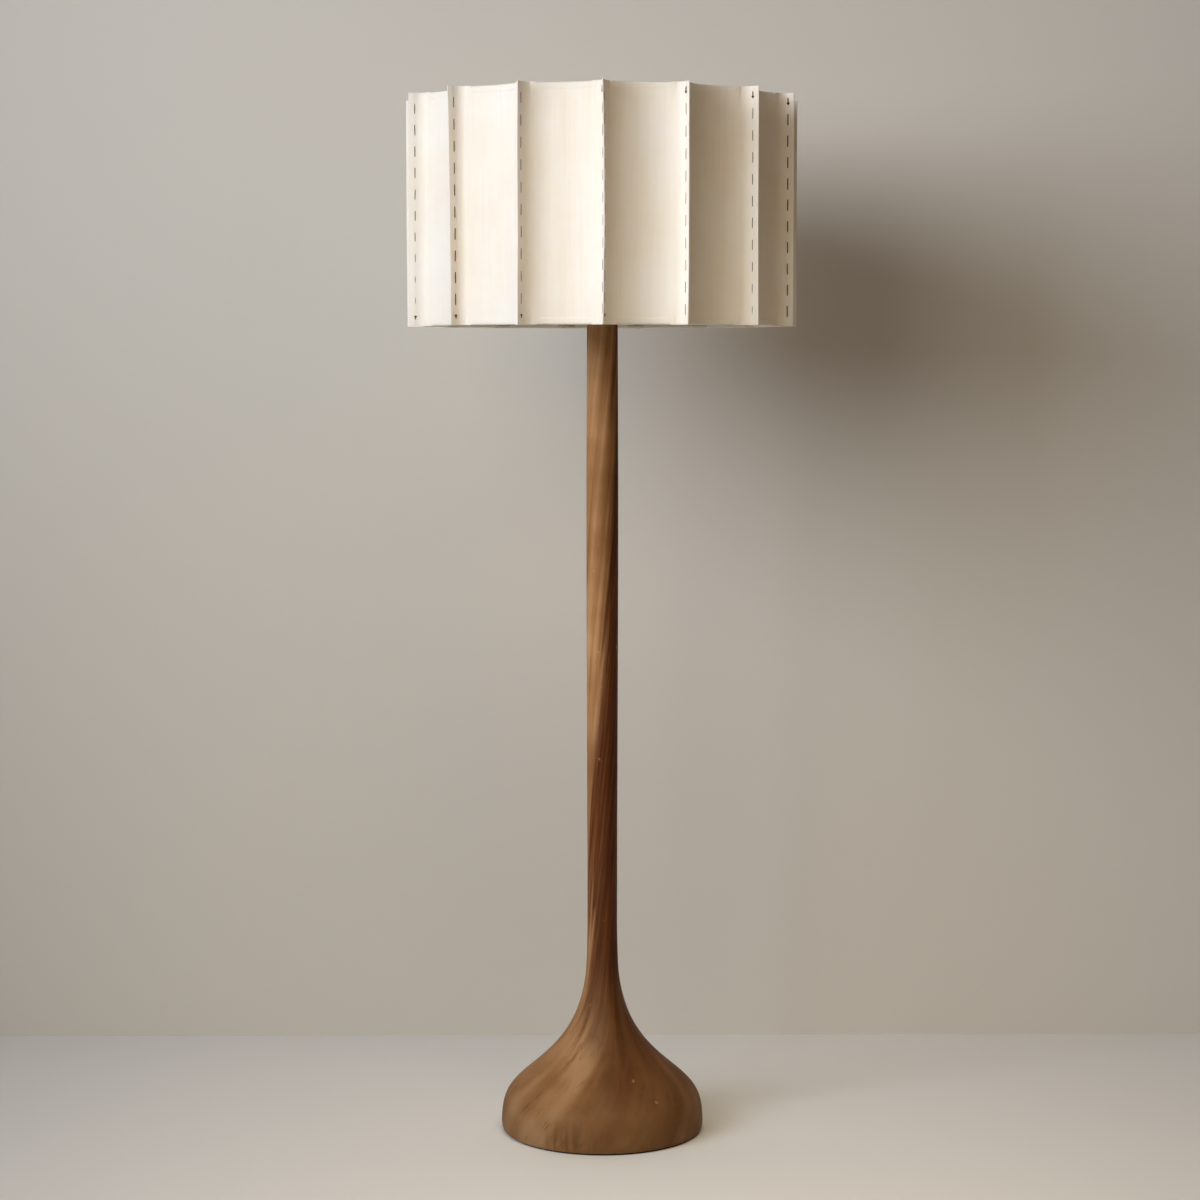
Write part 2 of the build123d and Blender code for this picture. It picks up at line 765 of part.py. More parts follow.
def make_seam_thread():
    """The running stitch of one seam, which stands out along +X."""
    line = seam_face + thread_stand + thread_width / 2
    reach = 2 * line + thread_width
    holes = stitch_holes()
    across = Box(thread_width, reach, thread_width)
    along = Box(thread_width, thread_width, stitch_pitch + thread_width)
    thread = Part() + [Pos(stitch_radius, 0, height) * across for height in holes]
    for k, height in enumerate(holes[:-1]):
        side = 1 if k % 2 == 0 else -1
        thread += Pos(stitch_radius, side * line, height - stitch_pitch / 2) * along
    knot = Box(knot_width, knot_width, knot_width)
    knot_line = seam_face + thread_stand + knot_width / 2
    thread += Pos(stitch_radius, -knot_line, holes[0]) * knot
    tail = Box(thread_width, thread_width, knot_tail)
    thread += Pos(stitch_radius, -line, holes[0] + knot_tail / 2) * tail
    last_side = 1 if len(holes) % 2 else -1
    thread += Pos(stitch_radius, last_side * knot_line, holes[-1]) * knot
    return thread


def ring_frame():
    """The ring's bends: its curve radius, its cusp centre's distance out and where the two meet."""
    radius = panel_curve_radius + sheet_thickness / 2 + ring_play + ring_wire_radius
    across = curve_centre * sin(seam_half_angle)
    out = curve_centre * cos(seam_half_angle) - sqrt((radius + ring_cusp_radius) ** 2 - across**2)
    cusp = (out * cos(seam_half_angle), out * sin(seam_half_angle))
    meet = towards((curve_centre, 0), cusp, radius)
    return radius, out, meet


def make_ring(height, thickness=0.0):
    """A scalloped wire ring that follows the panels, or a thicker one to cut with."""
    radius, out, meet = ring_frame()
    cusp_tip = out + ring_cusp_radius
    tip = (cusp_tip * cos(seam_half_angle), cusp_tip * sin(seam_half_angle))
    scallop = ThreePointArc((meet[0], -meet[1]), (curve_centre - radius, 0), meet)
    next_start = Vector(meet[0], -meet[1]).rotate(Axis.Z, degrees(2 * seam_half_angle))
    cusp = ThreePointArc(meet, tip, next_start)
    edges = []
    for turn in spread(panel_count, first_panel):
        edges += [turn * scallop, turn * cusp]
    path = Pos(0, 0, height) * Wire(edges)
    return sweep(Plane(path ^ 0) * Circle(ring_wire_radius + thickness), path)


def make_spider():
    """The hub and the wire arms that hang the top ring on the harp's stud."""
    _, out, _ = ring_frame()
    arm_height = hub_bottom + spider_hub_thickness / 2
    reach = out + ring_cusp_radius - ring_wire_radius
    bend = (reach - spider_rise_run, 0, arm_height)
    start = (spider_hub_reach, 0, arm_height)
    path = FilletPolyline(start, bend, (reach, 0, top_ring_height), radius=spider_bend_radius)
    section = Pos(*start) * Rot(0, 90, 0) * Circle(spider_wire_radius)
    arm = sweep(section, path)
    hub_top = hub_bottom + spider_hub_thickness
    spider = rod(spider_hub_radius, hub_bottom, hub_top)
    spider += [turn * arm for turn in spread(spider_arm_count, front)]
    spider -= rod(spider_hub_reach, hub_top, hub_top + spider_wire_radius)
    spider -= rod(spider_hub_reach, hub_bottom - spider_wire_radius, hub_bottom)
    spider -= rod(stud_radius + spider_hub_play, hub_bottom, hub_top)
    return spider - make_ring(top_ring_height, spider_weld_room)


save("felt_pad", make_felt_pad())
save("base_cover", make_cover())
save("cover_screws", Part() + [turn * cover_screw() for turn in cover_screw_turns])
save("base_weight", make_weight())
save("weight_screws", Part() + [turn * weight_screw() for turn in weight_screw_turns])
save("base", make_base())
save("base_neck", make_base_neck())
save("cord_gland", make_gland())
save("lower_stem", make_lower_stem())
save("upper_stem", make_upper_stem())

nut_top = weight_bottom - washer_thickness
save("pipe_washer", pipe(washer_radius, pipe_seat_radius, nut_top, weight_bottom))
save("pipe_nut", hexagon(pipe_nut_across_flats, pipe_seat_radius, nut_top - pipe_nut_thickness, nut_top))
butt_low = stem_joint_height - pipe_butt_room / 2
save("lower_pipe", pipe(pipe_radius, pipe_bore_radius, pipe_bottom, butt_low))
save("upper_pipe", pipe(pipe_radius, pipe_bore_radius, butt_low + pipe_butt_room, pipe_top))
coupling_low = stem_joint_height - coupling_length / 2
save("pipe_coupling", pipe(coupling_radius, pipe_seat_radius, coupling_low, coupling_low + coupling_length))

cap = rounded_rod(stem_top_radius + cap_overhang, stem_top, neck_bottom, cap_rounding)
save("stem_cap", cap - rod(pipe_seat_radius, stem_top, neck_bottom))
save("neck_tube", pipe(neck_radius, pipe_seat_radius, neck_bottom, saddle_bottom))
save("harp_saddle", make_saddle())
save("saddle_nut", hexagon(saddle_nut_across_flats, pipe_seat_radius, saddle_top, socket_bottom))
save("harp", make_harp())
save("harp_sleeve_left", make_sleeve(-1))
save("harp_sleeve_right", make_sleeve(1))
save("harp_stud", make_stud())

save("socket_cap", make_socket_cap())
save("set_screw", set_screw())
save("socket_shell", make_socket_shell())
save("socket_liner", make_liner())
save("socket_body", make_socket_body())
save("terminal_screws", Part() + [turn * terminal_screw() for turn in spread(2)])
save("screw_shell", make_thread_shell())
save("centre_contact", make_centre_contact())
save("switch_knob", make_knob())

save("bulb_contact", rod(bulb_tip_radius, bulb_bottom, bulb_bottom + bulb_tip_height))
save("bulb_insulator", make_insulator())
save("bulb_cap", make_lamp_cap())
save("bulb_glass", make_bulb_glass())

save("spider", make_spider())
save("top_ring", make_ring(top_ring_height))
save("bottom_ring", make_ring(bottom_ring_height))
panel = make_panel()
for number, turn in enumerate(spread(panel_count, first_panel), start=1):
    save(f"shade_panel_{number:02d}", turn * panel)
seam_thread = make_seam_thread()
save("seam_threads", Part() + [turn * seam_thread for turn in spread(panel_count, front)])
save("finial", make_finial())
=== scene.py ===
"""A turned wooden floor lamp with a scalloped shade of stitched parchment panels.

Metres, +Z up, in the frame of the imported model. The front is -Y.
"""

import json
import math

import bpy
import numpy as np
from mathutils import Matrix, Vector, noise


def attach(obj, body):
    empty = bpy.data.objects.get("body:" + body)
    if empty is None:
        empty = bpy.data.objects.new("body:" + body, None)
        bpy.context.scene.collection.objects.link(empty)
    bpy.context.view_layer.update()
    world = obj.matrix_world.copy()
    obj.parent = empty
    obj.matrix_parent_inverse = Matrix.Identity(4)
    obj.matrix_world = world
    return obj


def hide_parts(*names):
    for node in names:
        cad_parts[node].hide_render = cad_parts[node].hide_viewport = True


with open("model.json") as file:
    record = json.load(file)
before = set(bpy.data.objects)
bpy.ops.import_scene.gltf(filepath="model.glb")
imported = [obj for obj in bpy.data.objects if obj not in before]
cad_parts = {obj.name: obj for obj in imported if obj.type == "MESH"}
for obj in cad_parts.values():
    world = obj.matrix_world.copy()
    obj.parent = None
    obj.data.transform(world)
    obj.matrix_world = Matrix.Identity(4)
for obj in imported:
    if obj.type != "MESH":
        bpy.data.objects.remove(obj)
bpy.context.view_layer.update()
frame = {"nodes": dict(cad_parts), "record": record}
nodes = frame["nodes"]

MM = 0.001

# Sizes of the shade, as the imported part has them
PANELS = 15
TIP = 287.5 * MM
TOP = 1520.0 * MM
BOTTOM = 1192.0 * MM
SHEET = 1.2 * MM
SEAM_GAP = 0.1 * MM
SEAM_DEPTH = 13.5 * MM
CURVE = 108.0 * MM
FOLD = 6.0 * MM
RING_WIRE = 1.6 * MM
RING_PLAY = 0.15 * MM
HEM_DEPTH = 9.0 * MM
HEM_END_ROOM = 14.0 * MM
STITCH_INSET = 8.8 * MM
STITCH_PITCH = 15.0 * MM
STITCH_TOP = 15.0 * MM
STITCH_COUNT = 21

# Between the rings the folds are softer and the seams are pinched less deep
SOFT_FOLD = 17.0 * MM
SOFT_DEPTH = 9.8 * MM

# The sheet lies still on a ring and is free from some way off it
RING_STILL = 2.0 * MM
RING_FREE = 28.0 * MM

# How far past its seam a seam's lean bends the sheet, on a ring and between the rings
LEAN_REACH = 8.0 * MM
LEAN_REACH_FREE = 48.0 * MM

# The share of the lean that is left at the seam's root, then in millimetres the size of its slow
# drift, for a listed seam and for the others, and of its small kinks
ROOT_LEAN = 0.22
LEAN_DRIFT = 1.1
LEAN_DRIFT_BACK = 2.2
KINK = 0.35

# How far past its seam an edge's shortfall ends and how gently, and its drift in millimetres
SHORT_REACH = 6.0 * MM
SHORT_EASE = 10.0 * MM
SHORT_DRIFT = 0.35

# The edges of a seam part outside its stitches, by so many millimetres and their drift
GAPE = 0.58
GAPE_DRIFT = 0.25
GAPE_START = 1.0 * MM

# The sheet's slow waves and upright ripples, and the step where a hem ends
WAVE = 1.1 * MM
RIPPLE = 0.16 * MM
HEM_SWELL = 0.55 * MM
HEM_STEP = 0.8 * MM

# Steps along half a panel's curve, its fold, its seam and a hem's roll and fall
CURVE_STEPS = 24
FOLD_STEPS = 8
SEAM_STEPS = 8
EDGE_STEPS = FOLD_STEPS + SEAM_STEPS
ROLL_STEPS = 8
FALL_STEPS = 3

# Heights of a hem's rows over the edge, in millimetres, of which 2.95 is the ring's own height, and
# the rows of the sheet between the hems
HEM_ROWS = (0, 1.2, 2.95, 5, 7, 8.4, 9.2, 10.2, 12)
BARE_FROM = 18.0 * MM
BARE_ROWS = 56

# Heights closer than this are the same height
TOUCH = 1e-6

# The rounding of the sheet's edges
EDGE_ROUND = 0.22 * MM
EDGE_ROUND_STEPS = 2
EDGE_ROUND_ANGLE = math.radians(50)

# The thread's radius, the share of it that sinks into the sheet, and its way through a hole
THREAD = 0.78 * MM
THREAD_SIDES = 8
SINK = 0.4
HOLE_SIDE = 0.8
HOLE_TURN = 0.35 * MM
HOLE_LEAD = 1.6 * MM
THREAD_END = 0.9 * MM
HOLE_DRIFT = 0.5 * MM
HOLE_INSET_DRIFT = 0.45 * MM
# How far a stitch stands off, in millimetres, and its drift, and how far it slants
SLACK = 0.12
SLACK_DRIFT = 0.1
SLANT = 0.25 * MM
STITCH_SMOOTHING = 4

# A knot's loops, how far it stands off the sheet, and the lengths of the tails at the top and bottom
KNOT = 0.66 * MM
KNOT_STAND = 0.55 * MM
KNOT_DEPTH = 0.5 * MM
KNOT_POINTS = 24
TAIL_START = 0.6 * MM
TAIL_TOP = 7.5 * MM
TAIL_BOTTOM = 3.6 * MM
TAIL_LEAN = 0.8 * MM
TAIL_RISE = 0.15 * MM
TAIL_FALL = 0.25 * MM
TAIL_SMOOTHING = 5

# Each kind of unevenness has noise of its own: its number, and its pace along and across
LEAN_NOISE = (3, 4.5, 1)
KINK_NOISE = (40, 17, 1)
SHORT_NOISE = (80, 7, 1)
GAPE_NOISE = (120, 14, 1)
WAVE_NOISE = (160, 5, 3)
RIPPLE_NOISE = (200, 1.6, 14)
HOLE_NOISE = (300, 1.7, 1)
INSET_NOISE = (340, 1.3, 1)
SLACK_NOISE = (380, 2.1, 1)
SLANT_NOISE = (420, 3.3, 1)
TAIL_NOISE = (460, 1, 1)
# The distance from one number's noise to the next, and the start of the first
NOISE_STEP = 17.3
NOISE_START = 0.37
LEAN_ACROSS = 0.2
TAIL_ALONG = 0.4

FRONT = math.radians(-90.0)
TURN = 2 * math.pi / PANELS
HALF_TURN = TURN / 2


def smooth(x):
    """0 below 0, 1 above 1 and an easy rise between."""
    x = np.clip(x, 0.0, 1.0)
    return x * x * (3 - 2 * x)


def drift(kind, number, along, across=0.0):
    """Smooth noise from -1 to 1 of one kind, for the piece with that number. It is the same on each run."""
    first, pace, pace_across = kind
    own = NOISE_STEP * (number + first) + NOISE_START
    return noise.noise(Vector((pace * along, pace_across * across, own)))


# Meshes


def mesh_piece(name, points, faces, uvs=None, smooth_faces=True):
    """A mesh object from points and faces, with uvs given for each point."""
    mesh = bpy.data.meshes.new(name)
    mesh.from_pydata([tuple(p) for p in points], [], faces)
    if uvs is not None:
        layer = mesh.uv_layers.new(name="sheet")
        for loop in mesh.loops:
            layer.data[loop.index].uv = uvs[loop.vertex_index]
    for polygon in mesh.polygons:
        polygon.use_smooth = smooth_faces
    mesh.update()
    made = bpy.data.objects.new(name, mesh)
    bpy.context.scene.collection.objects.link(made)
    return made


def through(points, steps):
    """A smooth line through the points."""
    points = np.array(points, float)
    ends = np.vstack([2 * points[0] - points[1], points, 2 * points[-1] - points[-2]])
    line = []
    for a, b, c, d in zip(ends, ends[1:], ends[2:], ends[3:]):
        for t in np.arange(steps) / steps:
            square = (2 * a - 5 * b + 4 * c - d) * t**2
            cube = (3 * b - a - 3 * c + d) * t**3
            line.append(0.5 * (2 * b + (c - a) * t + square + cube))
    line.append(points[-1])
    return np.array(line)


def tube(line, radius, sides, first=0):
    """Points, faces and uvs of a closed round tube along a line. Its points are counted from first."""
    along = np.gradient(line, axis=0)
    along /= np.linalg.norm(along, axis=1)[:, None]
    side = np.cross(along[0], [0.31, 0.87, 0.38])
    side /= np.linalg.norm(side)
    points, uvs, length = [], [], 0.0
    for k, (middle, forward) in enumerate(zip(line, along)):
        side = side - forward * (side @ forward)
        side /= np.linalg.norm(side)
        other = np.cross(forward, side)
        if k:
            length += np.linalg.norm(middle - line[k - 1])
        for s in range(sides):
            angle = 2 * math.pi * s / sides
            points.append(middle + radius * (math.cos(angle) * side + math.sin(angle) * other))
            uvs.append((length, s / sides))
    faces = []
    for k in range(len(line) - 1):
        for s in range(sides):
            a, b = k * sides + s, k * sides + (s + 1) % sides
            faces.append((first + a, first + b, first + b + sides, first + a + sides))
    last = (len(line) - 1) * sides
    faces.append(tuple(first + s for s in reversed(range(sides))))
    faces.append(tuple(first + last + s for s in range(sides)))
    return points, faces, uvs


# Shade

# The panel across +X, as a line through the middle of its sheet
ASIDE = SEAM_GAP / 2 + SHEET / 2
SEAM_OUT = np.array([math.cos(HALF_TURN), math.sin(HALF_TURN)])
SEAM_OFF = np.array([math.sin(HALF_TURN), -math.cos(HALF_TURN)])


def fold_centre(fold, depth):
    """The middle of the fold beside a panel's +Y seam, of that radius and pinched that deep."""
    return (TIP - depth) * SEAM_OUT + (ASIDE + fold) * SEAM_OFF


FOLD_CENTRE = fold_centre(FOLD, SEAM_DEPTH)
CURVE_CENTRE = FOLD_CENTRE[0] + math.sqrt((CURVE - FOLD) ** 2 - FOLD_CENTRE[1] ** 2)
MIDDLE = CURVE_CENTRE - CURVE
FOLD_ANGLE = math.acos((CURVE_CENTRE - FOLD_CENTRE[0]) / (CURVE - FOLD))
RING_BACK = SHEET / 2 + RING_PLAY + RING_WIRE
RING_TOP = TOP - SHEET / 2 - RING_BACK
RING_BOTTOM = BOTTOM + SHEET / 2 + RING_BACK
HEM_SPAN = FOLD_ANGLE - HEM_END_ROOM / CURVE


def sheet_line(fold, depth):
    """Half of a panel's line, from its middle to the tip of its +Y seam, which is pinched that deep."""
    centre = fold_centre(fold, depth)
    rise, half = centre[0] - MIDDLE, centre[1]
    curve = (rise**2 + half**2 - fold**2) / (2 * (rise - fold))
    whole = math.asin(half / (curve - fold))
    places, normals = [], []
    for share in np.linspace(0, 1, CURVE_STEPS + 1):
        across = np.array([-math.cos(share * whole), math.sin(share * whole)])
        places.append(np.array([MIDDLE + curve, 0.0]) + curve * across)
        normals.append(-across)
    start = math.atan2(-normals[-1][1], -normals[-1][0])
    end = math.atan2(-SEAM_OFF[1], -SEAM_OFF[0])
    bend = (end - start + math.pi) % (2 * math.pi) - math.pi
    for share in np.linspace(0, 1, FOLD_STEPS + 1)[1:]:
        angle = start + share * bend
        way = np.array([math.cos(angle), math.sin(angle)])
        places.append(centre + fold * way)
        normals.append(-way)
    for share in np.linspace(0, 1, SEAM_STEPS + 1)[1:]:
        places.append((TIP - depth + share * depth) * SEAM_OUT + ASIDE * SEAM_OFF)
        normals.append(SEAM_OFF)
    return np.array(places), np.array(normals)


def panel_line(fold, depth):
    """A panel's whole line from one tip to the other: places and the sheet's outward directions."""
    places, normals = sheet_line(fold, depth)
    mirrored = [1, -1]
    whole_places = np.vstack([(places * mirrored)[:0:-1], places])
    return whole_places, np.vstack([(normals * mirrored)[:0:-1], normals])


# How far the pinched edge of a seam leans aside at its top, middle and bottom, and how far it falls
# short at its top and bottom, in millimetres. Seam 0 faces the front, the seams to its left count
# down from it, and all that aren't listed are like the back.
BACK = (0.0, 0.0, 0.0, 0.4, 0.5)
HAND = {
    -4: (0.0, 0.2, -0.6, 0.3, 0.5),
    -3: (-1.4, -1.5, -2.0, -1.2, -1.8),
    -2: (-1.4, 0.4, 1.8, 0.2, 1.8),
    -1: (0.4, -0.2, -0.9, 0.3, 0.2),
    0: (-1.0, 0.5, -1.7, 0.2, 0.3),
    1: (-0.5, -0.9, -2.2, 0.3, 0.7),
    2: (1.0, 1.4, 2.8, 0.3, 0.0),
    3: (-1.6, -1.2, -1.5, 2.4, 2.0),
    4: (0.4, 0.0, -0.6, 1.4, 0.9),
}


def seam_shift(seam, z, depth):
    """How far a seam stands aside and falls short, at a height and a depth under its edge."""
    seam %= PANELS
    near = seam if seam <= PANELS // 2 else seam - PANELS
    high, middle, low, high_short, low_short = HAND.get(near, BACK)
    rise = (z - BOTTOM) / (TOP - BOTTOM)
    bow = middle - (high + low) / 2
    aside = low + (high - low) * rise + bow * 4 * rise * (1 - rise)
    lean_drift = LEAN_DRIFT if near in HAND else LEAN_DRIFT_BACK
    aside += lean_drift * drift(LEAN_NOISE, seam, z, LEAN_ACROSS)
    aside += KINK * drift(KINK_NOISE, seam, z)
    short = low_short + (high_short - low_short) * rise + SHORT_DRIFT * drift(SHORT_NOISE, seam, z)
    free = smooth(1 - depth / SEAM_DEPTH)
    return (ROOT_LEAN + (1 - ROOT_LEAN) * free) * aside * MM, short * MM


def levels():
    """The heights of a panel's rows, close together at its hems."""
    hem = MM * np.array(HEM_ROWS)
    middle = np.linspace(BARE_FROM, TOP - BOTTOM - BARE_FROM, BARE_ROWS)
    return np.concatenate([BOTTOM + hem, BOTTOM + middle, TOP - hem[::-1]])


def make_panel(number):
    """One panel: a sheet pinched at both seams, with its top and bottom rolled over the rings."""
    rested, rested_normals = panel_line(FOLD, SEAM_DEPTH)
    softened, softened_normals = panel_line(SOFT_FOLD, SOFT_DEPTH)
    lengths = np.concatenate([[0.0], np.cumsum(np.linalg.norm(np.diff(rested, axis=0), axis=1))])
    whole = lengths[-1]
    columns = len(lengths)
    shares = np.clip((np.arange(columns) - EDGE_STEPS) / (2 * CURVE_STEPS), 0, 1)
    hems = abs(shares - 0.5) * 2 * FOLD_ANGLE <= HEM_SPAN
    heading = FRONT + HALF_TURN + number * TURN
    turn = np.array([[math.cos(heading), -math.sin(heading)], [math.sin(heading), math.cos(heading)]])
    heights = levels()
    tangents = [np.array([side * -math.sin(HALF_TURN), math.cos(HALF_TURN)]) for side in (-1, 1)]
    outs = [np.array([SEAM_OUT[0], -SEAM_OUT[1]]), SEAM_OUT]
    points, uvs, index = [], [], {}

    def line_at(column, share, ring_room):
        """The panel's place and outward direction: as rested at its hems, softened elsewhere."""
        past_hem = abs(share - 0.5) * 2 * FOLD_ANGLE - HEM_SPAN
        soft = ring_room + (1 - ring_room) * smooth(past_hem * CURVE / HEM_END_ROOM)
        at = rested[column] + soft * (softened[column] - rested[column])
        normal = rested_normals[column] + soft * (softened_normals[column] - rested_normals[column])
        return at, normal / np.linalg.norm(normal)

    def place(column, z, back=0.0, height=None):
        share = shares[column]
        side = 0 if share < 0.5 else 1
        depth = min(lengths[column], whole - lengths[column])
        ring_room = smooth((min(RING_TOP - z, z - RING_BOTTOM) - RING_STILL) / RING_FREE)
        at, normal = line_at(column, share, ring_room)
        # The sheet follows its seams, most of all at their edges, and lies still on the rings
        spread = LEAN_REACH + (LEAN_REACH_FREE - LEAN_REACH) * ring_room
        aside, short = seam_shift(number + side, z, depth)
        move = smooth((SEAM_DEPTH + spread - depth) / spread) * aside * tangents[side]
        move = move - smooth((SEAM_DEPTH + SHORT_REACH - depth) / SHORT_EASE) * short * outs[side]
        # The edges of a seam part a little outside its stitches
        part = smooth((STITCH_INSET - GAPE_START - depth) / STITCH_INSET)
        gape = (GAPE + GAPE_DRIFT * drift(GAPE_NOISE, number * 2 + side, z)) * MM * part
        # The sheet's own slight waves and upright ripples, none at the folds
        window = math.sin(math.pi * share) if 0 < share < 1 else 0.0
        wave = ring_room * WAVE * drift(WAVE_NOISE, number, z, share)
        wave += RIPPLE * drift(RIPPLE_NOISE, number, z, share)
        swell = 0.0
        if hems[column]:
            edge = min(z - BOTTOM, TOP - z)
            swell = HEM_SWELL * (1 - smooth((edge - HEM_DEPTH) / HEM_STEP + 0.5))
        out = swell + window * wave - gape - back
        spot = turn @ (at + move + normal * out)
        return (spot[0], spot[1], z if height is None else height)

    def point(key, column, z, back=0.0, height=None):
        if key not in index:
            index[key] = len(points)
            points.append(place(column, z, back, height))
            uvs.append((lengths[column], (z if height is None else height) - BOTTOM))
        return index[key]

    faces = []
    for c in range(columns - 1):
        hem = hems[c] and hems[c + 1]
        for r, (a, b) in enumerate(zip(heights, heights[1:])):
            if hem and (b <= RING_BOTTOM + TOUCH or a >= RING_TOP - TOUCH):
                continue
            corners = [(c, r, a), (c + 1, r, a), (c + 1, r + 1, b), (c, r + 1, b)]
            faces.append([point(("flat", i, j), i, z) for i, j, z in corners])
        if not hem:
            continue
        for ring, sign in ((RING_TOP, 1), (RING_BOTTOM, -1)):
            row = int(np.argmin(abs(heights - ring)))
            previous = [point(("flat", i, row), i, heights[row]) for i in (c, c + 1)]
            # The sheet's way over the ring and down behind it, as how far back and at what height
            over = [
                (RING_BACK * (1 - math.cos(t)), ring + sign * RING_BACK * math.sin(t))
                for t in np.linspace(0, math.pi, ROLL_STEPS + 1)[1:]
            ]
            fall = np.linspace(0, HEM_DEPTH - RING_BACK - SHEET / 2, FALL_STEPS + 1)[1:]
            over += [(2 * RING_BACK, ring - sign * drop) for drop in fall]
            for s, (back, z) in enumerate(over):
                now = [point((sign, i, s), i, ring, back, z) for i in (c, c + 1)]
                face = [previous[0], previous[1], now[1], now[0]]
                faces.append(face if sign > 0 else face[::-1])
                previous = now
    panel = mesh_piece(f"parchment_panel_{number + 1:02d}", points, faces, uvs)
    thick = panel.modifiers.new("thickness", "SOLIDIFY")
    thick.thickness = SHEET
    thick.offset = 0
    thick.use_even_offset = True
    edge = panel.modifiers.new("edges", "BEVEL")
    edge.width = EDGE_ROUND
    edge.segments = EDGE_ROUND_STEPS
    edge.limit_method = "ANGLE"
    edge.angle_limit = EDGE_ROUND_ANGLE
    edge.harden_normals = False
    return panel


def make_stitching(seam):
    """The waxed thread of one seam, a running stitch with a knot at each end."""
    heading = FRONT + seam * TURN
    out = np.array([math.cos(heading), math.sin(heading), 0.0])
    aside = np.array([-math.sin(heading), math.cos(heading), 0.0])
    up = np.array([0.0, 0.0, 1.0])
    face = SEAM_GAP / 2 + SHEET - SINK * THREAD

    def at(side, z, off=face, reach=0.0):
        """A place beside the seam's middle, off to one side of it."""
        aside_now, short = seam_shift(seam, z, STITCH_INSET)
        radius = TIP - STITCH_INSET - short + reach
        return radius * out + (aside_now + side * off) * aside + z * up

    holes = []
    for k in range(STITCH_COUNT):
        z = TOP - STITCH_TOP - k * STITCH_PITCH + HOLE_DRIFT * drift(HOLE_NOISE, seam, k)
        holes.append((z, HOLE_INSET_DRIFT * drift(INSET_NOISE, seam, k)))
    path = [at(-1, holes[0][0] + THREAD_END, reach=holes[0][1])]
    for k, (z, reach) in enumerate(holes):
        side = -1 if k % 2 == 0 else 1
        path.append(at(side, z + HOLE_TURN, HOLE_SIDE * face, reach))
        path.append(at(0, z, 0.0, reach))
        path.append(at(-side, z - HOLE_TURN, HOLE_SIDE * face, reach))
        if k + 1 < len(holes):
            below, reach_below = holes[k + 1]
            slack = (SLACK + SLACK_DRIFT * drift(SLACK_NOISE, seam, k)) * MM
            slant = SLANT * drift(SLANT_NOISE, seam, k)
            path.append(at(-side, z - HOLE_LEAD, face, reach))
            path.append(at(-side, (z + below) / 2, face + slack, (reach + reach_below) / 2 + slant))
            path.append(at(-side, below + HOLE_LEAD, face, reach_below))
    end_z, end_reach = holes[-1]
    path.append(at(1, end_z - THREAD_END, reach=end_reach))
    runs = [through(path, STITCH_SMOOTHING)]
    # Each knot is a small overhand knot pulled tight, with its tail
    knots = ((-1, *holes[0], 1, TAIL_TOP), (1, end_z, end_reach, -1, TAIL_BOTTOM))
    for side, z, reach, rise, tail in knots:
        middle = at(side, z, face + KNOT_STAND, reach)
        turns = []
        for t in np.linspace(0, 2 * math.pi, KNOT_POINTS + 1)[:-1]:
            a = KNOT * (math.sin(t) + 1.2 * math.sin(2 * t))
            b = KNOT * (math.cos(t) - 1.2 * math.cos(2 * t))
            turns.append(middle + a * out + b * up - side * KNOT_DEPTH * math.sin(3 * t) * aside)
        lean = TAIL_LEAN * drift(TAIL_NOISE, seam + side, TAIL_ALONG)
        free = [
            middle + rise * TAIL_START * up,
            middle + lean * 0.5 * out + side * TAIL_RISE * aside + rise * 0.5 * tail * up,
            middle + lean * out - side * TAIL_FALL * aside + rise * tail * up,
        ]
        runs.append(np.array(turns))
        runs.append(through(free, TAIL_SMOOTHING))
    points, faces, uvs = [], [], []
    for run in runs:
        p, f, u = tube(run, THREAD, THREAD_SIDES, len(points))
        points += p
        faces += f
        uvs += u
    return mesh_piece(f"stitching_{seam + 1:02d}", points, faces, uvs)


panels = [make_panel(number) for number in range(PANELS)]
for number, panel in enumerate(panels):
    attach(panel, "shade")
    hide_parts(f"shade_panel_{number + 1:02d}")

stitching = [make_stitching(seam) for seam in range(PANELS)]
for thread in stitching:
    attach(thread, "shade")
    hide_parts("seam_threads")


# Materials

# How far the wood's grain winds round the axis, in radians for each metre of height
GRAIN_WIND = 4.5


def srgb(r, g, b):
    """A colour written in 0 to 255 as the linear colour of a shader's socket."""
    shares = [c / 255 for c in (r, g, b)]
    return (*[((c + 0.055) / 1.055) ** 2.4 if c > 0.04 else c / 12.92 for c in shares], 1.0)


